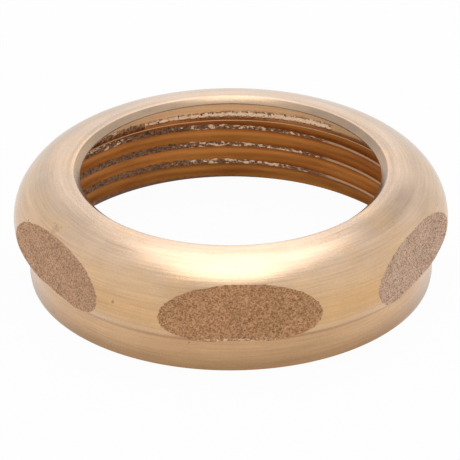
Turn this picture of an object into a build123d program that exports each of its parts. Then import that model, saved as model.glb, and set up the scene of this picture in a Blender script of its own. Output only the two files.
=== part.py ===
from build123d import *
import os

# A slip joint nut for 1 1/4 inch tube drains: one brass casting, turned inside and out.
# Z runs along the bore. The open threaded end rests on Z = 0, the lip is at the top,
# and the middle of one wrench pad faces -Y. All lengths are in millimetres.

# Threaded bore, cut here to the crest of the 11.5 per inch thread. Every radius hangs from it.
thread_crest_radius = 20.35
mouth_chamfer_width = 0.35
mouth_chamfer_height = 0.4

# Washer recess: turned just wider than the thread, between its end and the lip
recess_floor_height = 7.5
recess_step = 0.35

# Collar: the plain turned ring round the threaded end, with a slight bevel at its foot
collar_wall = 1.65
collar_height = 3.65
base_bevel_width = 0.1
base_bevel_height = 0.6

# Dome: the rounded body above the collar, which it overhangs all round
height = 12.25
dome_overhang = 1.6
dome_foot_overhang = 0.3
dome_widest_height = 6.6
shoulder_turn = 58.0
crown_rise = 0.42

# Wrench pads: flats of the hexagonal casting that the turning tool never reached
pad_count = 6
pad_overhang = 0.1

# Lip: the inward flange with the hole for the tube. Its underside is a cone that seats the
# bevelled washer, and it thins the lip to a narrow edge round the hole.
lip_reach = 4.05
lip_edge = 0.15
lip_chamfer_width = 0.65
lip_chamfer_depth = 0.57
seat_fall = 1.93

# Where the turned faces start and end, clear of the corners between the pads
seam_angle = -10.0

# Sizes that follow from the ones above
collar_radius = thread_crest_radius + collar_wall
dome_foot_radius = collar_radius + dome_foot_overhang
dome_radius = collar_radius + dome_overhang
shoulder_radius = height - crown_rise - dome_widest_height
across_pads = 2 * (collar_radius + pad_overhang)
recess_radius = thread_crest_radius + recess_step
tube_hole_radius = thread_crest_radius - lip_reach
edge_height = height - lip_chamfer_depth - lip_edge
seat_height = edge_height - seat_fall


def outside_edges():
    """The turned outside, from the base up over the dome to the rim of the lip."""
    base_edge = (collar_radius - base_bevel_width, 0)
    bevel_top = (collar_radius, base_bevel_height)
    collar_top = (collar_radius, collar_height)
    dome_foot = (dome_foot_radius, collar_height)
    widest = (dome_radius, dome_widest_height)
    rim = (tube_hole_radius + lip_chamfer_width, height)

    # The turning tool leaves the dome's foot standing just proud of the collar
    collar = Polyline(base_edge, bevel_top, collar_top, dome_foot)
    # The underside is found from the widest ring, where the dome stands upright
    underside = TangentArc(widest, dome_foot, tangent=(0, -1))
    shoulder_centre = (dome_radius - shoulder_radius, dome_widest_height)
    shoulder = CenterArc(shoulder_centre, shoulder_radius, 0, shoulder_turn)
    crown = TangentArc(shoulder @ 1, rim, tangent=shoulder % 1)
    return [collar, underside, shoulder, crown]


def inside_edges():
    """The turned inside, from the rim of the lip down to the mouth of the thread."""
    rim = (tube_hole_radius + lip_chamfer_width, height)
    edge_top = (tube_hole_radius, height - lip_chamfer_depth)
    edge_bottom = (tube_hole_radius, edge_height)
    recess_top = (recess_radius, seat_height)
    recess_bottom = (recess_radius, recess_floor_height)
    crest_top = (thread_crest_radius, recess_floor_height)
    crest_bottom = (thread_crest_radius, mouth_chamfer_height)
    mouth = (thread_crest_radius + mouth_chamfer_width, 0)
    base_edge = (collar_radius - base_bevel_width, 0)

    lip = Polyline(rim, edge_top, edge_bottom, recess_top)
    bore = Polyline(recess_top, recess_bottom, crest_top, crest_bottom, mouth, base_edge)
    return [lip, bore]


def turned_blank():
    """The nut as the lathe would leave it if no casting flat were in the way."""
    outline = Curve() + outside_edges() + inside_edges()
    section = Rot(0, 0, seam_angle) * (Plane.XZ * make_face(outline))
    return revolve(section, Axis.Z)


def pad_cutter():
    """Everything outside the hexagonal casting, above the collar."""
    reach = 2 * dome_radius
    around = Cylinder(reach, height, align=(Align.CENTER, Align.CENTER, Align.MIN))
    hexagon = RegularPolygon(across_pads / 2, pad_count, major_radius=False)
    casting = extrude(Rot(0, 0, 90 - 180 / pad_count) * hexagon, height)
    return Pos(0, 0, collar_height) * (around - casting)


def nut_body():
    nut = turned_blank() - pad_cutter()
    nut.label = "nut_body"
    return nut


os.makedirs("parts", exist_ok=True)
export_step(nut_body(), "parts/nut_body.step")
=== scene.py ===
# Slip joint nut for a 1 1/4 inch drain tube: one brass casting, turned inside and out.
# The solid's own sizes are repeated here in millimetres, and everything is built in its frame.

from math import cos, pi, radians, sin

import bmesh
import bpy
from mathutils import Matrix, Vector


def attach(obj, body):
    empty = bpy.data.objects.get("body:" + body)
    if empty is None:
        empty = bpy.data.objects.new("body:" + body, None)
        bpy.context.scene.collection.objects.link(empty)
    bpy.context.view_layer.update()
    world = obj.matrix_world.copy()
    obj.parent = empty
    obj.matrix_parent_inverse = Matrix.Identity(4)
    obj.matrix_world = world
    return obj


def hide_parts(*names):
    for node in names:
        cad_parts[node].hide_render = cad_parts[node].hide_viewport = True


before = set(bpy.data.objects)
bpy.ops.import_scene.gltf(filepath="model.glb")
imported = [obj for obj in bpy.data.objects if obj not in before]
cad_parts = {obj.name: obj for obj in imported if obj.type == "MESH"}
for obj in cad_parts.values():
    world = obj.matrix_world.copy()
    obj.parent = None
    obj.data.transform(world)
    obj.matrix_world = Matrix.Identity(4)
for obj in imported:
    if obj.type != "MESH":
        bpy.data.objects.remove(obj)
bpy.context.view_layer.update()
mm = 0.001
scene = bpy.context.scene
scene.view_settings.view_transform = "Standard"


# helpers

def addNode(tree, kind, links=(), **settings):
    # one node: its own settings by name, and its inputs as plain values or other nodes' outputs
    node = tree.nodes.new(kind)
    for name, value in settings.items():
        setattr(node, name, value)
    for socket, source in dict(links).items():
        if isinstance(source, bpy.types.NodeSocket):
            tree.links.new(source, node.inputs[socket])
        else:
            node.inputs[socket].default_value = source
    return node


def linearColour(hexText):
    # sRGB hex as a colour picker shows it, turned to the linear values that the shaders want
    channels = [int(hexText[i:i + 2], 16) / 255 for i in (1, 3, 5)]
    return tuple(c / 12.92 if c <= 0.04045 else ((c + 0.055) / 1.055) ** 2.4 for c in channels) + (1,)


# camera: a long lens from in front and above, a little to the left of the front pad's middle

cameraView = {
    "azimuth": -2.444,      # degrees round from straight in front
    "elevation": 29.267,
    "roll": -0.19,
    "distance": 411.47,     # mm
    "aimAside": -0.096,     # mm, the aim's place left of the bore's axis
    "aimHeight": 4.577,     # mm above the floor
    "lens": 295.13,
    "sensor": 36,
    "clip": (0.01, 20),         # m
}


def makeCamera(view):
    camera = bpy.data.cameras.new("studioCamera")
    camera.lens, camera.sensor_width = view["lens"], view["sensor"]
    camera.clip_start, camera.clip_end = view["clip"]
    cameraObject = bpy.data.objects.new("studioCamera", camera)
    scene.collection.objects.link(cameraObject)
    tilt = Matrix.Rotation(radians(90 - view["elevation"]), 4, "X")
    around = Matrix.Rotation(radians(view["azimuth"]), 4, "Z")
    aim = Matrix.Translation((0, 0, view["aimHeight"] * mm))
    back = Matrix.Translation((view["aimAside"] * mm, 0, view["distance"] * mm))
    cameraObject.matrix_world = aim @ around @ tilt @ back @ Matrix.Rotation(radians(view["roll"]), 4, "Z")
    scene.camera = cameraObject


makeCamera(cameraView)
print("camera placed")


# node shorthands, for the materials and for the nut's own tree

def calculate(tree, operation, first, second=0.0, third=0.0):
    return addNode(tree, "ShaderNodeMath", {0: first, 1: second, 2: third}, operation=operation).outputs[0]


def product(tree, *factors):
    total = factors[0]
    for factor in factors[1:]:
        total = calculate(tree, "MULTIPLY", total, factor)
    return total


def combined(tree, x=0.0, y=0.0, z=0.0):
    return addNode(tree, "ShaderNodeCombineXYZ", {0: x, 1: y, 2: z}).outputs[0]


def scaled(tree, vector, scale):
    return addNode(tree, "ShaderNodeVectorMath", {0: vector, "Scale": scale}, operation="SCALE").outputs[0]


def stretched(tree, vector, factors):
    return addNode(tree, "ShaderNodeVectorMath", {0: vector, 1: factors}, operation="MULTIPLY").outputs[0]


def roundAxis(tree, x, y):
    # distance from the bore's axis, and the turn round it from the back
    flat = addNode(tree, "ShaderNodeVectorMath", {0: combined(tree, x, y)}, operation="LENGTH")
    return flat.outputs["Value"], calculate(tree, "ARCTAN2", x, y)


def remap(tree, value, low, high, outLow=0.0, outHigh=1.0):
    # a soft step from outLow to outHigh while the value goes from low to high
    return addNode(tree, "ShaderNodeMapRange", {0: value, 1: low, 2: high, 3: outLow, 4: outHigh},
                   interpolation_type="SMOOTHSTEP").outputs[0]


# materials: a noise is given as its lumps' size in mm, its detail and its roughness,
# and a range as from and to, then the values there where they aren't 0 and 1

def alongNut(tree):
    # where a point lies, in mm, and how far its face looks up, from -1 to 1
    place = scaled(tree, addNode(tree, "ShaderNodeTexCoord").outputs["Object"], 1 / mm)
    x, y, z = addNode(tree, "ShaderNodeSeparateXYZ", {0: place}).outputs
    radius, turn = roundAxis(tree, x, y)
    normal = addNode(tree, "ShaderNodeNewGeometry").outputs["Normal"]
    facing = addNode(tree, "ShaderNodeSeparateXYZ", {0: normal}).outputs[2]
    return {"place": place, "x": x, "y": y, "z": z, "radius": radius, "turn": turn, "facing": facing,
            "offMiddle": calculate(tree, "ABSOLUTE", x)}


def noiseAt(tree, vector, size, detail, roughness=0.5):
    # soft noise from 0 to 1 whose lumps are about this many mm across
    return addNode(tree, "ShaderNodeTexNoise", {
        "Vector": vector, "Scale": 1 / size, "Detail": detail, "Roughness": roughness}).outputs[0]


def distanceTo(tree, spot, mark):
    turn = radians(mark["turn"])
    place = (mark["radius"] * sin(turn), mark["radius"] * cos(turn), mark["height"])
    gap = addNode(tree, "ShaderNodeVectorMath", {0: spot["place"], 1: place}, operation="DISTANCE")
    return gap.outputs["Value"]


def offFrom(tree, value, middle):
    return calculate(tree, "ABSOLUTE", calculate(tree, "SUBTRACT", value, middle))


def painted(tree, share, under, hexText):
    # the hex colour laid over another one, as far as share says
    return addNode(tree, "ShaderNodeMix", {0: share, 6: under, 7: linearColour(hexText)},
                   data_type="RGBA").outputs[2]


toolRings = {
    "slope": -0.6,              # part of the way inwards counts as height, so that flat faces have rings
    "detail": 3.0,
    "roughness": 0.6,
}


def toolMarks(tree, spot, spacing, length):
    # rings left by the turning tool: noise that runs quickly across the cut and slowly round it, in mm
    across = calculate(tree, "MULTIPLY_ADD", spot["radius"], toolRings["slope"], spot["z"])
    quick = calculate(tree, "MULTIPLY", across, 1 / spacing)
    slowX, slowY = (calculate(tree, "MULTIPLY", spot[axis], 1 / length) for axis in ("x", "y"))
    vector = combined(tree, slowX, slowY, quick)
    return noiseAt(tree, vector, 1.0, toolRings["detail"], toolRings["roughness"])


def newMaterial(name, metallic, roughness):
    material = bpy.data.materials.new(name)
    material.use_nodes = True
    shader = material.node_tree.nodes["Principled BSDF"]
    shader.inputs["Metallic"].default_value = metallic
    shader.inputs["Roughness"].default_value = roughness
    return material, material.node_tree, shader


def finishMaterial(tree, shader, colour, height, depth):
    # colour and bump go to the shader, depth in mm
    tree.links.new(colour, shader.inputs["Base Color"])
    node = addNode(tree, "ShaderNodeBump", {"Height": height, "Distance": depth * mm})
    tree.links.new(node.outputs[0], shader.inputs["Normal"])


turnedLook = {
    "wallColour": "#D6AB7B",    # the dome's upright and hanging faces, yellower than the rest
    "roughness": 0.28,
    "unevenness": (0.3, 0.7, -0.04, 0.05),  # of the roughness, over the broad bands
    "lacquer": 0.6,             # a thin clear film: it whitens the brightest highlight and the far edges
    "lacquerRoughness": 0.25,
    "marks": (0.22, 9.0),       # mm between rings, about as fine as shows, and mm along them
    "marksShade": (0.25, 0.75, 0.9, 1.09),
    "marksDepth": 0.014,        # mm
    "bands": (0.8, 6.0),        # the broader bands that the hand tool or a worn edge leaves
    "bandsShade": (0.25, 0.75, 0.94, 1.05),
    "clouds": (3.5, 3.0),       # from handling
    "cloudShade": (0.3, 0.7, 0.97, 1.03),
    "grain": (0.25, 2.0),
    "grainShade": (0.3, 0.7, 0.97, 1.03),
    "grainLift": 0.35,          # of the rings' depth
    "stains": (2.2, 4.0, 0.65),
    "tarnish": (4.5, 2.0),
    "aside": (5.0, 15.0),       # mm from the middle, towards both sides
}

# places on the nut: ranges of mm from the axis and mm up, and of how far a face looks up
onCollar = {"radius": (22.12, 22.06), "z": (4.2, 3.6)}
inBore = {"radius": (20.9, 20.8), "z": (9.7, 9.5)}
onLip = {"radius": (18.6, 17.2), "z": (11.5, 11.7)}
lookingUp = {"facing": (0.6, 0.99)}

# Painted over the wall's colour in this order. A layer covers as much as its ranges say, multiplied.
# Where it has two sets of ranges they add up, and None in place of a range takes that share as it is.
turnedLayers = (
    ("#D1AF8B", {"facing": (0.05, 0.72)}),                  # the shoulder: painted light, paler as it turns up
    ("#CBAF95", lookingUp),                                 # upward faces: painted light, paled by the lamps
    ("#C89E73", onCollar),                                  # the collar: painted shade under the dome's overhang
    ("#D6AD83", onCollar | {"aside": None}),                # painted light: the collar lighter towards both sides
    ("#A98158", onCollar | {"z": (3.0, -0.3)}),             # painted shade, darker towards the table
    ("#CE9E70", inBore),                                    # the recess wall
    ("#B38A60", inBore | {"aside": None}),                  # painted shade: the wall darker towards both sides
    ("#5F3C26", inBore | {"z": (0.7, 0.5)}),                # painted shade: the mouth, facing the floor
    # the lip's chamfer, scuffed grey, with painted shade that deepens towards both sides
    ("#AE9479", {"radius": (17.0, 16.9), "z": (11.5, 11.6), "aside": (0.0, 1.0, 0.75, 1.0)}),
    ("#917863", {"stains": (0.7, 0.82, 0.0, 0.4)}),
    ("#A58C76", onLip | {"offMiddle": (3.0, 12.0, 0.35, 0.9)}),     # round the hole: painted shade at the sides
    # streaks of grime, partly painted shade, on the upward faces
    ("#917863", lookingUp | {"grimeAndShade": None}),
    # thicker tarnish in clouds, and low on the dome to the right
    ("#D6A86A", {"tarnish": (0.5, 0.7, 0.0, 0.22), "facing": (0.05, 0.72)},
     {"x": (4.0, 12.0, 0.0, 0.25), "facing": (0.5, 0.2), "radius": (22.2, 22.4)}),
    ("#6E5136", {"blemishes": None}),
)

blemishes = (                   # turn round from the back in degrees, then mm, and how dark
    {"turn": -105, "radius": 22.7, "height": 9.6, "size": 0.16, "share": 0.8},      # pit, left shoulder
    {"turn": -118, "radius": 22.0, "height": 0.8, "size": 0.14, "share": 0.8},      # pit at the collar's foot
    {"turn": -166, "radius": 22.0, "height": 3.2, "size": 0.13, "share": 0.8},      # pit under the front pad
    {"turn": -146, "radius": 23.6, "height": 7.3, "size": 0.22, "share": 0.6},      # smear between two pads
    {"turn": 119, "radius": 20.2, "height": 11.6, "size": 0.2, "share": 0.25},      # spots, right crown
    {"turn": 125, "radius": 20.3, "height": 11.5, "size": 0.2, "share": 0.25},
    {"turn": -118, "radius": 21.7, "height": 11.0, "size": 0.9, "share": 0.22},     # smear, left crown
    {"turn": 33, "radius": 20.7, "height": 7.9, "size": 0.32, "share": 0.9},        # notch at the strip's end
)

blemishEdge = {
    "noise": (0.5, 3.0),
    "reach": (0.3, 0.7, 0.7, 1.4),      # how far the noise draws the edge in and out
    "core": 0.4,                # of the size, the part that is fully dark
}

peppered = {                    # a patch of fine pits above the left pad
    "turn": -119,               # degrees round from the back
    "radius": 21.6,             # mm
    "height": 10.8,
    "reach": (3.4, 1.02, 0.0, 0.5),
    "pits": (0.3, 1.0),         # drawn about one pixel wide
    "pitEdge": (0.66, 0.74),
}

grimeAndShadePatches = (                 # crown streaks along the cut: partly grime, partly painted shade
    {"turn": 122, "spread": 28, "radius": 19.2, "width": 1.7, "share": 0.55},       # right front
    {"turn": -114, "spread": 40, "radius": 19.6, "width": 2.6, "share": 0.12},      # left front
    {"turn": -52, "spread": 30, "radius": 19.6, "width": 2.6, "share": 0.25},       # left back
)

grimeAndShadeEdge = {
    "alongCore": 0.3,           # of the spread, and of the width: the part at full share
    "acrossCore": 0.4,
    "streaks": (0.35, 0.65, 0.75, 1.2),     # how the broad bands break the patches up
}


def blemishShare(tree, spot):
    # fine pits, and soft round marks with ragged edges
    pits = remap(tree, noiseAt(tree, spot["place"], *peppered["pits"]), *peppered["pitEdge"])
    total = product(tree, pits, remap(tree, distanceTo(tree, spot, peppered), *peppered["reach"]))
    ragged = remap(tree, noiseAt(tree, spot["place"], *blemishEdge["noise"]), *blemishEdge["reach"])
    for mark in blemishes:
        away = product(tree, distanceTo(tree, spot, mark), ragged)
        share = remap(tree, away, mark["size"], blemishEdge["core"] * mark["size"], 0.0, mark["share"])
        total = calculate(tree, "ADD", share, total)
    return total


def grimeAndShadeShare(tree, spot, bands):
    # long soft patches of grime and painted shade round the crown, broken up by the tool's broader bands
    total = 0.0
    for patch in grimeAndShadePatches:
        spread = radians(patch["spread"])
        along = remap(tree, offFrom(tree, spot["turn"], radians(patch["turn"])),
                      spread, grimeAndShadeEdge["alongCore"] * spread, 0.0, patch["share"])
        across = remap(tree, offFrom(tree, spot["radius"], patch["radius"]),
                       patch["width"], grimeAndShadeEdge["acrossCore"] * patch["width"])
        total = calculate(tree, "MULTIPLY_ADD", along, across, total)
    return product(tree, total, remap(tree, bands, *grimeAndShadeEdge["streaks"]))


def layerShare(tree, spot, sets):
    shares = []
    for ranges in sets:
        fades = [remap(tree, spot[name], *span) if span else spot[name] for name, span in ranges.items()]
        shares.append(product(tree, *fades))
    return calculate(tree, "ADD", *shares) if len(shares) == 2 else shares[0]


def makeTurnedBrass(look):
    # turned brass: rings from the tool, cloudy handling marks and a few small stains on a satin metal,
    # under a thin clear film, with painted light and shade in some of its layers
    material, tree, shader = newMaterial("turnedBrass", 1.0, look["roughness"])
    shader.inputs["Coat Weight"].default_value = look["lacquer"]
    shader.inputs["Coat Roughness"].default_value = look["lacquerRoughness"]
    spot = alongNut(tree)
    marks, bands = (toolMarks(tree, spot, *look[name]) for name in ("marks", "bands"))
    clouds, grain, stains, tarnish = (
        noiseAt(tree, spot["place"], *look[name]) for name in ("clouds", "grain", "stains", "tarnish"))
    spot |= {"stains": stains, "tarnish": tarnish, "grimeAndShade": grimeAndShadeShare(tree, spot, bands),
             "aside": remap(tree, spot["offMiddle"], *look["aside"]), "blemishes": blemishShare(tree, spot)}
    colour = linearColour(look["wallColour"])
    for hexText, *sets in turnedLayers:
        colour = painted(tree, layerShare(tree, spot, sets), colour, hexText)
    shades = ((marks, "marksShade"), (bands, "bandsShade"), (clouds, "cloudShade"), (grain, "grainShade"))
    shade = product(tree, *(remap(tree, noise, *look[name]) for noise, name in shades))
    rough = calculate(tree, "ADD", remap(tree, bands, *look["unevenness"]), look["roughness"])
    tree.links.new(rough, shader.inputs["Roughness"])
    height = calculate(tree, "MULTIPLY_ADD", grain, look["grainLift"], marks)
    finishMaterial(tree, shader, scaled(tree, colour, shade), height, look["marksDepth"])
    return material


castLook = {
    "metallic": 0.55,
    "roughness": 0.5,
    "pitColour": "#8C5E38",
    "grainColour": "#E3AF80",
    "grains": (0.17, 2.0, 0.7),     # the mould's sand, drawn as coarse as it shows
    "lumps": (0.5, 3.0, 0.6),       # where grains stuck together
    "lumpShare": 0.4,
    "pitToGrain": (0.45, 0.95),     # of the height that both make
    "depth": 0.08,              # mm
    "sheenColour": "#EBD6C6",    # painted sheen on the pads that face sideways, where light grazes them
    "sheenLeft": (-6.0, -18.0, 0.0, 0.2),    # mm along X
    "sheenRight": (6.0, 18.0),
    "sheenRightShare": 0.65,
    "sheenGrains": (0.35, 0.65),
    "glintColour": "#F4DCBE",   # painted glints along the middle of the pads' lower edge, where light catches it
    "glints": (0.3, 1.0),
    "glintEdge": (0.53, 0.6),
    "glintHeight": (4.1, 3.8),      # mm
    "glintReach": (6.0, 4.0, 0.0, 0.8),     # mm either side of the middle
    "clouds": (2.5, 2.0),
    "cloudShade": (0.3, 0.7, 0.95, 1.08),
}


def makeCastBrass(look):
    # sand-cast skin: dull metal with pale grains and brown pits, rough enough to scatter the lamps
    material, tree, shader = newMaterial("castBrass", look["metallic"], look["roughness"])
    spot = alongNut(tree)
    grains, lumps, clouds, glintNoise = (
        noiseAt(tree, spot["place"], *look[name]) for name in ("grains", "lumps", "clouds", "glints"))
    height = calculate(tree, "MULTIPLY_ADD", lumps, look["lumpShare"], grains)
    colour = painted(tree, remap(tree, height, *look["pitToGrain"]), linearColour(look["pitColour"]),
                     look["grainColour"])
    # painted sheen: the side pads paler, most on the right, where the light grazes them
    sheenLeft = remap(tree, spot["x"], *look["sheenLeft"])
    sheen = remap(tree, spot["x"], *look["sheenRight"], sheenLeft, look["sheenRightShare"])
    sheen = product(tree, sheen, remap(tree, grains, *look["sheenGrains"]))
    colour = painted(tree, sheen, colour, look["sheenColour"])
    # painted glints where light catches the pads' lower edge
    glints = product(tree, remap(tree, glintNoise, *look["glintEdge"]),
                     remap(tree, spot["z"], *look["glintHeight"]),
                     remap(tree, spot["offMiddle"], *look["glintReach"]))
    colour = painted(tree, glints, colour, look["glintColour"])
    colour = scaled(tree, colour, remap(tree, clouds, *look["cloudShade"]))
    finishMaterial(tree, shader, colour, height, look["depth"])
    return material


threadLook = {
    "colour": "#CC8945",
    "deepColour": "#9C5E2C",
    "deepBands": (0.3, 0.7, 0.2, 0.8),
    "paleMiddleColour": "#E09A52",   # lighter upper turns in the middle of the back
    "paleMiddleReach": (12.0, 3.0),      # mm either side of the middle
    "paleMiddleHeight": (1.5, 3.5, 0.0, 0.35),
    "roughness": 0.5,
    "marks": (0.16, 14.0),
    "marksShade": 0.3,          # added to the base shade
    "baseShade": 0.85,
    "mouthShade": (0.5, 3.2, 0.78, 1.0),    # mm up, darker towards the mouth
    "marksDepth": 0.01,         # mm
    "bands": (0.9, 8.0),
}


def makeThreadBrass(look):
    # the cut thread: smooth and yellow-brown, darker low in the bore, with faint lines along the cut
    material, tree, shader = newMaterial("tappedBrass", 1.0, look["roughness"])
    spot = alongNut(tree)
    marks, bands = (toolMarks(tree, spot, *look[name]) for name in ("marks", "bands"))
    colour = painted(tree, remap(tree, bands, *look["deepBands"]), linearColour(look["colour"]),
                     look["deepColour"])
    paleMiddle = product(tree, remap(tree, spot["offMiddle"], *look["paleMiddleReach"]),
                    remap(tree, spot["z"], *look["paleMiddleHeight"]))
    colour = painted(tree, paleMiddle, colour, look["paleMiddleColour"])
    shade = calculate(tree, "MULTIPLY_ADD", marks, look["marksShade"], look["baseShade"])
    shade = product(tree, shade, remap(tree, spot["z"], *look["mouthShade"]))
    finishMaterial(tree, shader, scaled(tree, colour, shade), marks, look["marksDepth"])
    return material


rawLook = {
    "metallic": 0.8,
    "roughness": 0.45,
    "darkColour": "#6B4A35",    # oxide that the boring bar never reached
    "wornColour": "#A37A58",    # its highest grains, rubbed
    "fine": (0.25, 2.0),
    "wornFine": (0.35, 0.7),
    "heightShade": (7.4, 7.6, 0.85, 1.5),   # mm up, lighter on the recess wall
    "paleColour": "#E8C6A4",    # islands where it did, crowded towards the middle as painted light
    "squash": (1, 1, 1.7),
    "lumps": (0.6, 4.0, 0.65),
    "islandEdge": (-0.01, 0.03),
    "islandMiddle": 3.0,        # mm along X
    "islandLevel": (4.5, 12.6, 0.52, 0.72),     # mm from there, the noise that makes an island
    "crumbHeight": (5.6, 6.4, 0.0, 0.17),   # more islands high up on the left
    "crumbReach": (-9.0, -12.0),
    "boredColour": "#C09A76",   # the clean crest
    "boredReach": (10.9, 12.1),     # mm along X
    "depth": 0.04,              # mm
}


def makeRawBore(look):
    # the thread's crest: dark casting skin with bright turned islands, and clean metal towards +X
    material, tree, shader = newMaterial("rawBoreBrass", look["metallic"], look["roughness"])
    spot = alongNut(tree)
    lumps = noiseAt(tree, stretched(tree, spot["place"], look["squash"]), *look["lumps"])
    fine = noiseAt(tree, spot["place"], *look["fine"])
    colour = painted(tree, remap(tree, fine, *look["wornFine"]), linearColour(look["darkColour"]),
                     look["wornColour"])
    colour = scaled(tree, colour, remap(tree, spot["z"], *look["heightShade"]))
    # more islands towards the middle of the back: painted light where light falls in through the hole
    level = remap(tree, offFrom(tree, spot["x"], look["islandMiddle"]), *look["islandLevel"])
    crumbs = product(tree, remap(tree, spot["z"], *look["crumbHeight"]),
                     remap(tree, spot["x"], *look["crumbReach"]))
    level = calculate(tree, "SUBTRACT", level, crumbs)
    island = remap(tree, calculate(tree, "SUBTRACT", lumps, level), *look["islandEdge"])
    colour = painted(tree, island, colour, look["paleColour"])
    colour = painted(tree, remap(tree, spot["x"], *look["boredReach"]), colour, look["boredColour"])
    finishMaterial(tree, shader, colour, fine, look["depth"])
    return material


stripLook = {
    "metallic": 0.8,
    "roughness": 0.4,
    "paleColour": "#FBDDBB",
    "crackColour": "#6B4528",
    "lengthen": (1, 1, 0.6),
    "flakes": (0.45, 3.0, 0.7),
    "crackLevel": (8.1, 8.3, 0.39, 0.475),  # mm up, above which the cracks lie closer
    "crackEdge": (0.0, 0.07),
    "depth": 0.05,              # mm
}


def makeTornBrass(look):
    # a strip of the recess wall where the tool tore the metal: bright flakes with dark cracks between
    material, tree, shader = newMaterial("tornBrass", look["metallic"], look["roughness"])
    spot = alongNut(tree)
    flakes = noiseAt(tree, stretched(tree, spot["place"], look["lengthen"]), *look["flakes"])
    level = remap(tree, spot["z"], *look["crackLevel"])
    cracks = remap(tree, calculate(tree, "SUBTRACT", level, flakes), *look["crackEdge"])
    colour = painted(tree, cracks, linearColour(look["paleColour"]), look["crackColour"])
    finishMaterial(tree, shader, colour, flakes, look["depth"])
    return material


# the nut

nut = {                         # mm, within a tenth of the solid's sizes
    "height": 12.25,
    "collarRadius": 22.0,
    "collarHeight": 3.65,
    "baseBevelWidth": 0.1,
    "baseBevelHeight": 0.6,
    "domeRadius": 23.6,
    "domeWidestHeight": 6.7,
    "domeFootRadius": 22.3,
    "shoulderRadius": 5.2,
    "shoulderTurn": 63.0,       # degrees
    "tubeHoleRadius": 16.3,
    "lipChamferWidth": 0.65,
    "lipChamferDepth": 0.57,
    "lipEdge": 0.15,
    "seatFall": 1.93,
    "undersideSteps": 6,        # faces along each arc of the outline
    "shoulderSteps": 18,
    "crownSteps": 10,
    "cornerSoftness": 0.07,     # how far from a corner its rounding starts
    "recessRadius": 20.7,
    "recessFloorHeight": 7.5,
    "recessRows": 15,
    "crestRadius": 20.35,
    "ledgeEdge": 0.1,           # the ledge between recess and thread keeps this much height
    "crestRows": 40,            # rows of faces up the bore, fine enough for the cast skin
    "rawStart": -8.0,           # along X: the hole in the casting lay off centre, so the crest is
    "rawEnd": 16.0,             # left rough and set back at the start, and is bored clean at the end
    "rawDepth": 0.33,
    "rawGrit": 2.6,             # how much higher its grit stands than the pads'
    "mouthChamferWidth": 0.35,
    "mouthChamferHeight": 0.4,
    "segments": 680,            # faces round the nut
    "guideRadius": 19.0,        # the circle that the outline is swept round
    "radiusMargin": 0.02,       # within this a point counts as on the crest or the recess wall
    "ledgeMargin": 0.01,
    "mergeDistance": 0.002,
    "creaseAngle": 25,          # degrees, above which an edge stays sharp
    "seed": 4,
}

tornStrip = {                   # on the recess wall, where the tool tore the metal
    "low": 7.8,                 # mm
    "high": 8.36,
    "left": -25.2,              # degrees round from the back
    "right": 35.7,
    "taper": 0.3,               # mm that it loses in height from its middle to its left end
    "height": 0.05,             # mm proud of the wall
    "ragged": 3.0,              # how far the grit noise moves its edges
    "bandLeft": -75.0,          # left of the strip a band of raw skin runs on to here
    "bandHigh": 8.15,
}

pads = {
    "count": 6,
    "apothem": 22.0,            # mm from the axis to a pad
    "width": 20.0,              # mm, the cutter's own size, wider than any pad
    "low": 3.6,
    "high": 11.2,
    "thickness": 3.0,
    "columns": 120,
    "rows": 46,
    "gritHeight": 0.05,         # mm, sand grains of the mould
    "gritSize": 0.42,
    "gritDetail": 2,
    "waveHeight": 0.06,         # mm, the flat's own unevenness
    "waveSize": 4.0,
    "waveDetail": 1,
    "noiseGain": 4.0,           # noise keeps near its middle, so its swing is drawn out by this
}

thread = {                      # 11.5 threads per inch, right hand
    "pitch": 2.209,
    "toolRadius": 1.05,         # mm, of the rounded groove
    "toolCentre": 19.95,
    "startHeight": -1.765,      # mm, where the groove's middle is at +X
    "turns": 4.55,
    "segments": 220,            # per turn
    "toolSides": 26,
    "stopSides": 64,            # of the cylinder that ends the cut at the recess
    "stopReach": 1.3,           # its radius, in guide radii
}


def arcPoints(centre, radius, startAngle, endAngle, steps):
    # points after the first one, which the line before the arc already has
    angles = [startAngle + (endAngle - startAngle) * i / steps for i in range(1, steps + 1)]
    return [(centre[0] + radius * cos(a), centre[1] + radius * sin(a)) for a in angles]


def tangentArc(start, heading, end, steps):
    # the arc that leaves start along heading and comes to end, without its first point
    across, side = Vector(end) - Vector(start), Vector((-heading[1], heading[0]))
    radius = across.length_squared / (2 * across.dot(side))
    centre = Vector(start) + side * radius
    first = Vector(start) - centre
    turn = first.angle_signed(Vector(end) - centre) * -1
    points = []
    for i in range(1, steps + 1):
        spoke = first.copy()
        spoke.rotate(Matrix.Rotation(turn * i / steps, 2))
        points.append(tuple(centre + spoke))
    return points


def softCorner(before, corner, after, reach):
    # three points in place of a sharp corner, as the nose of the tool leaves it
    ends = [Vector(corner) + (Vector(side) - Vector(corner)).normalized() * reach for side in (before, after)]
    middle = (ends[0] + ends[1]) / 4 + Vector(corner) / 2
    return [tuple(ends[0]), tuple(middle), tuple(ends[1])]


def steppedLine(start, end, steps):
    # evenly spaced points from start to end, both included
    return [tuple(Vector(start).lerp(Vector(end), i / steps)) for i in range(steps + 1)]


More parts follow.
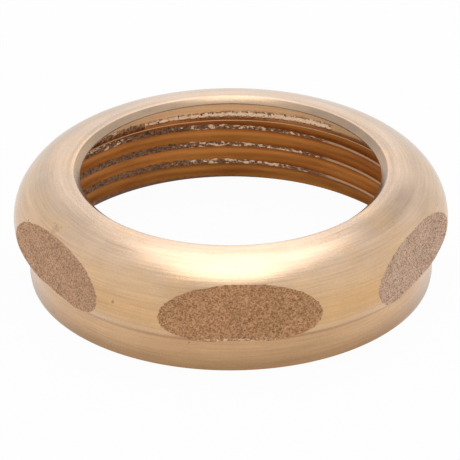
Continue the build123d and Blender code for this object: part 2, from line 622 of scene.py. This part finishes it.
def nutOutline(n):
    # the turned section as (radius, height), from the base up the outside and down the bore
    base = (n["collarRadius"] - n["baseBevelWidth"], 0)
    widest = (n["domeRadius"], n["domeWidestHeight"])
    foot = (n["domeFootRadius"], n["collarHeight"])
    rim = (n["tubeHoleRadius"] + n["lipChamferWidth"], n["height"])
    underside = tangentArc(widest, (0, -1), foot, n["undersideSteps"])
    shoulderTurn = radians(n["shoulderTurn"])
    shoulderCentre = (widest[0] - n["shoulderRadius"], widest[1])
    shoulder = arcPoints(shoulderCentre, n["shoulderRadius"], 0, shoulderTurn, n["shoulderSteps"])
    crown = tangentArc(shoulder[-1], (-sin(shoulderTurn), cos(shoulderTurn)), rim, n["crownSteps"])
    edgeTop = (n["tubeHoleRadius"], n["height"] - n["lipChamferDepth"])
    edgeBottom = (n["tubeHoleRadius"], edgeTop[1] - n["lipEdge"])
    recessTop = (n["recessRadius"], edgeBottom[1] - n["seatFall"])
    recessFloor = (n["recessRadius"], n["recessFloorHeight"])
    ledge = (n["crestRadius"], n["recessFloorHeight"])
    crestTop = (n["crestRadius"], n["recessFloorHeight"] - n["ledgeEdge"])
    crestBottom = (n["crestRadius"], n["mouthChamferHeight"])
    mouth = (n["crestRadius"] + n["mouthChamferWidth"], 0)

    outline = [base, (n["collarRadius"], n["baseBevelHeight"]), (n["collarRadius"], n["collarHeight"])]
    outline += underside[::-1] + [widest] + shoulder + crown[:-1]
    outline += softCorner(crown[-2], rim, edgeTop, n["cornerSoftness"])
    outline += softCorner(rim, edgeTop, edgeBottom, n["cornerSoftness"]) + [edgeBottom]
    outline += steppedLine(recessTop, recessFloor, n["recessRows"])
    outline += [ledge] + steppedLine(crestTop, crestBottom, n["crestRows"]) + [mouth]
    return outline


skins = {"cast": 1, "tapped": 2, "raw": 3, "torn": 4}       # places in makeNut's materials, turned brass is 0


def between(tree, value, low, high):
    # 1 where the value lies between the two, else 0
    above = calculate(tree, "GREATER_THAN", value, low)
    return product(tree, above, calculate(tree, "LESS_THAN", value, high))


def withSkin(tree, geometry, number):
    return addNode(tree, "GeometryNodeStoreNamedAttribute", {0: geometry, "Name": "skin", "Value": number},
                   data_type="INT", domain="FACE").outputs[0]


def castLifts(tree, given, place):
    # how far the sand-cast skin's fine grit and its coarse waves lift each point
    seeded = addNode(tree, "ShaderNodeVectorMath", {0: place, 1: given["Seed"]}, operation="ADD").outputs[0]
    for name, detail in (("Grit", pads["gritDetail"]), ("Wave", pads["waveDetail"])):
        perMetre = calculate(tree, "DIVIDE", 1.0, given[name + " Size"])
        noise = addNode(tree, "ShaderNodeTexNoise", {"Vector": seeded, "Scale": perMetre, "Detail": detail})
        swing = calculate(tree, "MULTIPLY", given[name + " Height"], pads["noiseGain"])
        yield calculate(tree, "MULTIPLY", calculate(tree, "SUBTRACT", noise.outputs[0], 0.5), swing)


def turnedBlank(tree, given, here, ledgeUnder):
    # the outline swept round the bore
    outline = addNode(tree, "GeometryNodeMeshToCurve", {0: given["Outline"]})
    guide = addNode(tree, "GeometryNodeCurvePrimitiveCircle", {
        "Resolution": given["Segments"], "Radius": given["Guide Radius"]})
    upright = addNode(tree, "GeometryNodeSetCurveNormal", {0: guide.outputs[0]}, mode="Z_UP")
    sweep = addNode(tree, "GeometryNodeCurveToMesh", {0: upright.outputs[0], 1: outline.outputs[0]})
    turned = addNode(tree, "GeometryNodeFlipFaces", {0: sweep.outputs[0]}).outputs[0]

    # its faces sorted by where they lie: the thread's crest, the torn strip and the raw band left of it
    radius, turn = roundAxis(tree, here["x"], here["y"])
    nearCrest, nearRecess = (addNode(tree, "FunctionNodeCompare", {
        0: radius, 1: given[name], "Epsilon": nut["radiusMargin"] * mm},
        operation="EQUAL", data_type="FLOAT").outputs[0] for name in ("Crest Radius", "Recess Radius"))
    crestTop = calculate(tree, "SUBTRACT", ledgeUnder, nut["ledgeMargin"] * mm)
    crest = product(tree, nearCrest, calculate(tree, "LESS_THAN", here["z"], crestTop))
    ragged = calculate(tree, "MULTIPLY_ADD", here["grit"], given["Strip Ragged"], here["z"])
    taper = addNode(tree, "ShaderNodeMapRange", {0: turn, 2: given["Strip Left"], 4: given["Strip Taper"]})
    stripTop = calculate(tree, "SUBTRACT", given["Strip High"], taper.outputs[0])
    strip = product(tree, between(tree, ragged, given["Strip Low"], stripTop),
                    between(tree, turn, given["Strip Left"], given["Strip Right"]), nearRecess)
    band = product(tree, between(tree, ragged, given["Recess Floor"], given["Band High"]),
                   between(tree, turn, given["Band Left"], given["Strip Left"]), nearRecess)
    number = calculate(tree, "MULTIPLY_ADD", calculate(tree, "ADD", band, crest), skins["raw"],
                       calculate(tree, "MULTIPLY", strip, skins["torn"]))

    # the crest is rough and set back where the boring bar missed it, and the torn strip stands proud
    setBack = calculate(tree, "MULTIPLY_ADD", here["grit"], given["Raw Grit"],
                        calculate(tree, "MULTIPLY", given["Raw Depth"], -1.0))
    rawLift = product(tree, setBack, remap(tree, here["x"], given["Raw End"], given["Raw Start"]), crest)
    stripLift = product(tree, strip, calculate(tree, "ADD", here["grit"], given["Strip Height"]))
    push = scaled(tree, here["normal"], calculate(tree, "ADD", rawLift, stripLift))
    sortedFaces = withSkin(tree, turned, number)
    return addNode(tree, "GeometryNodeSetPosition", {0: sortedFaces, "Offset": push}).outputs[0]


def padCutters(tree, given, here):
    # one slab for each pad, its inner face left rough like the casting
    tall = calculate(tree, "SUBTRACT", given["Pad High"], given["Pad Low"])
    slab = addNode(tree, "GeometryNodeMeshCube", {
        "Size": combined(tree, given["Pad Thickness"], given["Pad Width"], tall),
        "Vertices X": 2, "Vertices Y": given["Pad Columns"], "Vertices Z": given["Pad Rows"]})
    marked = addNode(tree, "GeometryNodeStoreNamedAttribute", {
        0: slab.outputs[0], "Name": "inner", "Value": calculate(tree, "LESS_THAN", here["x"], 0.0)},
        data_type="FLOAT", domain="POINT")
    ringRadius = calculate(tree, "MULTIPLY_ADD", given["Pad Thickness"], 0.5, given["Pad Apothem"])
    ring = addNode(tree, "GeometryNodeMeshCircle", {"Vertices": given["Pad Count"], "Radius": ringRadius})
    outward = addNode(tree, "FunctionNodeAlignRotationToVector", {"Vector": here["place"]},
                      axis="X", pivot_axis="Z")
    slabs = addNode(tree, "GeometryNodeInstanceOnPoints", {
        0: ring.outputs[0], "Instance": marked.outputs[0], "Rotation": outward.outputs[0]})
    slabMesh = addNode(tree, "GeometryNodeRealizeInstances", {0: slabs.outputs[0]})
    middle = calculate(tree, "MULTIPLY", calculate(tree, "ADD", given["Pad High"], given["Pad Low"]), 0.5)
    slabsUp = addNode(tree, "GeometryNodeTransform", {
        0: slabMesh.outputs[0], "Translation": combined(tree, z=middle),
        "Rotation": combined(tree, z=calculate(tree, "DIVIDE", pi, given["Pad Count"]))})
    inner = addNode(tree, "GeometryNodeInputNamedAttribute", {"Name": "inner"}, data_type="FLOAT").outputs[0]
    rough = scaled(tree, here["normal"], calculate(tree, "ADD", here["grit"], here["waves"]))
    slabsRough = addNode(tree, "GeometryNodeSetPosition", {0: slabsUp.outputs[0], 1: inner, "Offset": rough})
    return withSkin(tree, slabsRough.outputs[0], skins["cast"])


def threadingTool(tree, given, ledgeUnder):
    # a round bead along the helix, which stops at the recess
    climb = calculate(tree, "MULTIPLY", given["Thread Pitch"], given["Tool Turns"])
    helix = addNode(tree, "GeometryNodeCurveSpiral", {
        "Resolution": given["Tool Segments"], "Rotations": given["Tool Turns"], "Height": climb,
        "Start Radius": given["Tool Centre"], "End Radius": given["Tool Centre"], "Reverse": True})
    helixUp = addNode(tree, "GeometryNodeSetCurveNormal", {0: helix.outputs[0]}, mode="Z_UP")
    bead = addNode(tree, "GeometryNodeCurvePrimitiveCircle", {
        "Resolution": given["Tool Sides"], "Radius": given["Tool Radius"]})
    tool = addNode(tree, "GeometryNodeCurveToMesh", {
        0: helixUp.outputs[0], 1: bead.outputs[0], "Fill Caps": True})
    toolDown = addNode(tree, "GeometryNodeTransform", {
        0: tool.outputs[0], "Translation": combined(tree, z=given["Tool Start"])})
    stop = addNode(tree, "GeometryNodeMeshCylinder", {
        "Vertices": thread["stopSides"], "Depth": calculate(tree, "MULTIPLY", ledgeUnder, 2.0),
        "Radius": calculate(tree, "MULTIPLY", given["Guide Radius"], thread["stopReach"])})
    stopped = addNode(tree, "GeometryNodeMeshBoolean", {"Mesh 2": toolDown.outputs[0]},
                      operation="INTERSECT", solver="MANIFOLD")
    tree.links.new(stop.outputs[0], stopped.inputs["Mesh 2"])
    return withSkin(tree, stopped.outputs[0], skins["tapped"])


def nutTree(materials, values):
    # sweeps the outline round the bore, then cuts it with the pad faces and the threading tool
    tree = bpy.data.node_groups.new("turnedNut", "GeometryNodeTree")
    tree.interface.new_socket("Outline", in_out="INPUT", socket_type="NodeSocketGeometry")
    for name, value in values.items():
        kind = "NodeSocketInt" if isinstance(value, int) else "NodeSocketFloat"
        tree.interface.new_socket(name, in_out="INPUT", socket_type=kind)
    tree.interface.new_socket("Geometry", in_out="OUTPUT", socket_type="NodeSocketGeometry")
    given = addNode(tree, "NodeGroupInput").outputs
    place = addNode(tree, "GeometryNodeInputPosition").outputs[0]
    x, y, z = addNode(tree, "ShaderNodeSeparateXYZ", {0: place}).outputs
    grit, waves = castLifts(tree, given, place)
    here = {"place": place, "x": x, "y": y, "z": z, "grit": grit, "waves": waves,
            "normal": addNode(tree, "GeometryNodeInputNormal").outputs[0]}
    ledgeUnder = calculate(tree, "SUBTRACT", given["Recess Floor"], given["Ledge Edge"])
    blank = turnedBlank(tree, given, here, ledgeUnder)
    tools = addNode(tree, "GeometryNodeJoinGeometry", {0: padCutters(tree, given, here)})
    tree.links.new(threadingTool(tree, given, ledgeUnder), tools.inputs[0])
    cut = addNode(tree, "GeometryNodeMeshBoolean", {0: blank, 1: tools.outputs[0]},
                  operation="DIFFERENCE", solver="MANIFOLD")
    merged = addNode(tree, "GeometryNodeMergeByDistance", {
        0: cut.outputs[0], "Distance": nut["mergeDistance"] * mm})
    angle = addNode(tree, "GeometryNodeInputMeshEdgeAngle").outputs[0]
    soft = calculate(tree, "LESS_THAN", angle, radians(nut["creaseAngle"]))
    smoothFaces = addNode(tree, "GeometryNodeSetShadeSmooth", {0: merged.outputs[0], 2: True}, domain="FACE")
    smooth = addNode(tree, "GeometryNodeSetShadeSmooth", {0: smoothFaces.outputs[0], 2: soft}, domain="EDGE")
    dressed = addNode(tree, "GeometryNodeRealizeInstances", {0: smooth.outputs[0]})
    skin = addNode(tree, "GeometryNodeInputNamedAttribute", {"Name": "skin"}, data_type="INT").outputs[0]
    for number, material in enumerate(materials):
        chosen = addNode(tree, "FunctionNodeCompare", {2: skin, 3: number},
                         operation="EQUAL", data_type="INT")
        dressed = addNode(tree, "GeometryNodeSetMaterial", {
            0: dressed.outputs[0], 1: chosen.outputs[0], "Material": material})
    addNode(tree, "NodeGroupOutput", {0: dressed.outputs[0]})
    return tree


def dropEmptySlots(mesh):
    # the swept outline brings a slot with no material: the faces are counted anew without it
    kept = [material for material in mesh.materials if material]
    numbers = [kept.index(mesh.materials[face.material_index]) for face in mesh.polygons]
    mesh.materials.clear()
    for material in kept:
        mesh.materials.append(material)
    mesh.polygons.foreach_set("material_index", numbers)


def dropFoldedFaces(mesh):
    # merging close points leaves a few faces folded onto a neighbour. As triangles they are twins: both go
    work = bmesh.new()
    work.from_mesh(mesh)
    bmesh.ops.triangulate(work, faces=work.faces[:])
    twins = {}
    for face in work.faces:
        twins.setdefault(frozenset(face.verts), []).append(face)
    folded = [face for group in twins.values() if len(group) > 1 for face in group]
    bmesh.ops.delete(work, geom=folded, context="FACES")
    openEdges = sum(len(edge.link_faces) != 2 for edge in work.edges)
    work.to_mesh(mesh)
    work.free()
    print(len(folded), "folded faces dropped,", openEdges, "open edges left")


def nutValues():
    # the tree's named inputs: lengths in metres, turns in radians
    return {
        "Segments": nut["segments"], "Guide Radius": nut["guideRadius"] * mm,
        "Crest Radius": nut["crestRadius"] * mm, "Recess Radius": nut["recessRadius"] * mm,
        "Recess Floor": nut["recessFloorHeight"] * mm, "Ledge Edge": nut["ledgeEdge"] * mm,
        "Raw Start": nut["rawStart"] * mm, "Raw End": nut["rawEnd"] * mm,
        "Raw Depth": nut["rawDepth"] * mm, "Raw Grit": nut["rawGrit"],
        "Strip Low": tornStrip["low"] * mm, "Strip High": tornStrip["high"] * mm,
        "Strip Left": radians(tornStrip["left"]), "Strip Right": radians(tornStrip["right"]),
        "Strip Taper": tornStrip["taper"] * mm, "Strip Height": tornStrip["height"] * mm,
        "Strip Ragged": tornStrip["ragged"],
        "Band Left": radians(tornStrip["bandLeft"]), "Band High": tornStrip["bandHigh"] * mm,
        "Pad Count": pads["count"], "Pad Apothem": pads["apothem"] * mm, "Pad Width": pads["width"] * mm,
        "Pad Low": pads["low"] * mm, "Pad High": pads["high"] * mm, "Pad Thickness": pads["thickness"] * mm,
        "Pad Columns": pads["columns"], "Pad Rows": pads["rows"],
        "Grit Height": pads["gritHeight"] * mm, "Grit Size": pads["gritSize"] * mm,
        "Wave Height": pads["waveHeight"] * mm, "Wave Size": pads["waveSize"] * mm,
        "Thread Pitch": thread["pitch"] * mm, "Tool Radius": thread["toolRadius"] * mm,
        "Tool Centre": thread["toolCentre"] * mm, "Tool Start": thread["startHeight"] * mm,
        "Tool Turns": thread["turns"], "Tool Segments": thread["segments"],
        "Tool Sides": thread["toolSides"], "Seed": nut["seed"],
    }


def makeNut(materials):
    points = [((r - nut["guideRadius"]) * mm, -z * mm, 0) for r, z in nutOutline(nut)]
    edges = [(i, (i + 1) % len(points)) for i in range(len(points))]
    outline = bpy.data.meshes.new("nutOutline")
    outline.from_pydata(points, edges, [])
    piece = bpy.data.objects.new("slipJointNut", outline)
    scene.collection.objects.link(piece)
    modifier = piece.modifiers.new("turnedNut", "NODES")
    values = nutValues()
    modifier.node_group = nutTree(materials, values)
    for socket in modifier.node_group.interface.items_tree:
        if socket.name in values:
            modifier[socket.identifier] = values[socket.name]
    bpy.context.view_layer.update()
    evaluated = piece.evaluated_get(bpy.context.evaluated_depsgraph_get())
    mesh = bpy.data.meshes.new_from_object(evaluated)
    piece.modifiers.remove(modifier)
    piece.data = mesh
    mesh.name = "slipJointNut"
    dropEmptySlots(mesh)
    dropFoldedFaces(mesh)
    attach(piece, "root")
    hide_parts("nut_body")
    triangles = sum(len(face.vertices) - 2 for face in mesh.polygons)
    print("nut made,", triangles, "triangles,", len(mesh.materials), "materials")


makeNut([makeTurnedBrass(turnedLook), makeCastBrass(castLook), makeThreadBrass(threadLook),
         makeRawBore(rawLook), makeTornBrass(stripLook)])


# studio: a white floor and surround, a soft box overhead and a grey card high in front

studio = {
    "floorSize": 6.0,           # m
    "floorGap": 0.02,           # mm, so that the nut's foot and the floor don't share a plane
    "floorGlow": 0.965,         # how much of its white is its own to the eye, so its shadow stays light
    "floorGlowInMetal": 0.8,    # less in reflections, so that the nut's own shadow shows in the collar
    "fillStrength": 0.5,        # the surround as it lights the object
    "cardDistance": 0.7,        # m in front
    "cardLow": 0.02,
    "cardHigh": 0.95,
    "cardWidth": 0.6,
    "cardColour": "#D8D2C8",
    "floorColour": "#F1F1F1",
    "matt": 0.9,                # roughness of paper and card
}

lamps = {                       # place and size in m, strength is how bright a face looks, where 1 is white
    "overheadBox": {"place": (0.01, 0.09, 0.5), "size": (0.29, 0.52), "strength": 1.74},
    "coreBox": {"place": (0.008, -0.15, 0.47), "size": (0.15, 0.38), "strength": 0.4},
    "rearBox": {"place": (0.02, 0.52, 0.42), "size": (0.16, 0.2), "strength": 1.4},
    "backBox": {"place": (0.02, 1.0, 0.42), "size": (0.6, 0.5), "strength": 0.35},
}


def whiteToEye(tree, eyeShare, metalShare):
    # how white a ray finds this surface: in the picture, and in metal or glass
    rays = addNode(tree, "ShaderNodeLightPath").outputs
    inMetal = calculate(tree, "MAXIMUM", rays["Is Glossy Ray"], rays["Is Transmission Ray"])
    inMetal = calculate(tree, "MULTIPLY", inMetal, metalShare)
    return calculate(tree, "MAXIMUM", inMetal, calculate(tree, "MULTIPLY", rays["Is Camera Ray"], eyeShare))


def makeSheet(name, corners, material):
    mesh = bpy.data.meshes.new(name)
    mesh.from_pydata(corners, [], [(0, 1, 2, 3)])
    mesh.materials.append(material)
    sheet = bpy.data.objects.new(name, mesh)
    scene.collection.objects.link(sheet)


def makeFloor():
    # smooth white paper that the eye sees as lit by itself, with the nut's shadow on it
    material, tree, shader = newMaterial("whiteSweepPaper", 0.0, studio["matt"])
    shader.inputs["Base Color"].default_value = linearColour(studio["floorColour"])
    share = whiteToEye(tree, studio["floorGlow"], studio["floorGlowInMetal"])
    glow = addNode(tree, "ShaderNodeEmission", {"Strength": 1.0})
    mix = addNode(tree, "ShaderNodeMixShader", {0: share, 1: shader.outputs[0], 2: glow.outputs[0]})
    tree.links.new(mix.outputs[0], tree.nodes["Material Output"].inputs[0])
    half = studio["floorSize"] / 2
    z = -studio["floorGap"] * mm
    corners = [(-half, -half, z), (half, -half, z), (half, half, z), (-half, half, z)]
    makeSheet("studioFloor", corners, material)


def makeCard():
    # the card keeps the surround's white off the front of the dome, which is darker there
    material, _, shader = newMaterial("greyCard", 0.0, studio["matt"])
    shader.inputs["Base Color"].default_value = linearColour(studio["cardColour"])
    half, y = studio["cardWidth"] / 2, -studio["cardDistance"]
    low, high = studio["cardLow"], studio["cardHigh"]
    makeSheet("greyCard", [(-half, y, low), (half, y, low), (half, y, high), (-half, y, high)], material)


def makeSurround():
    world = bpy.data.worlds.new("whiteSurround")
    scene.world = world
    world.use_nodes = True
    tree = world.node_tree
    tree.nodes.clear()
    share = whiteToEye(tree, 1.0, 1.0)
    fill = addNode(tree, "ShaderNodeBackground", {"Color": (1, 1, 1, 1), "Strength": studio["fillStrength"]})
    white = addNode(tree, "ShaderNodeBackground", {"Color": (1, 1, 1, 1), "Strength": 1.0})
    mix = addNode(tree, "ShaderNodeMixShader", {0: share, 1: fill.outputs[0], 2: white.outputs[0]})
    addNode(tree, "ShaderNodeOutputWorld", {0: mix.outputs[0]})


def makeLamp(name, box):
    # a soft box aimed at the nut's middle
    light = bpy.data.lights.new(name, "AREA")
    light.shape = "RECTANGLE"
    light.size, light.size_y = box["size"]
    light.energy = box["strength"] * pi * light.size * light.size_y
    lamp = bpy.data.objects.new(name, light)
    scene.collection.objects.link(lamp)
    lamp.location = box["place"]
    middle = Vector((0, 0, nut["height"] / 2 * mm))
    lamp.rotation_euler = (middle - lamp.location).to_track_quat("-Z", "Y").to_euler()


makeFloor()
makeCard()
makeSurround()
for name, box in lamps.items():
    makeLamp(name, box)
print("studio lit")
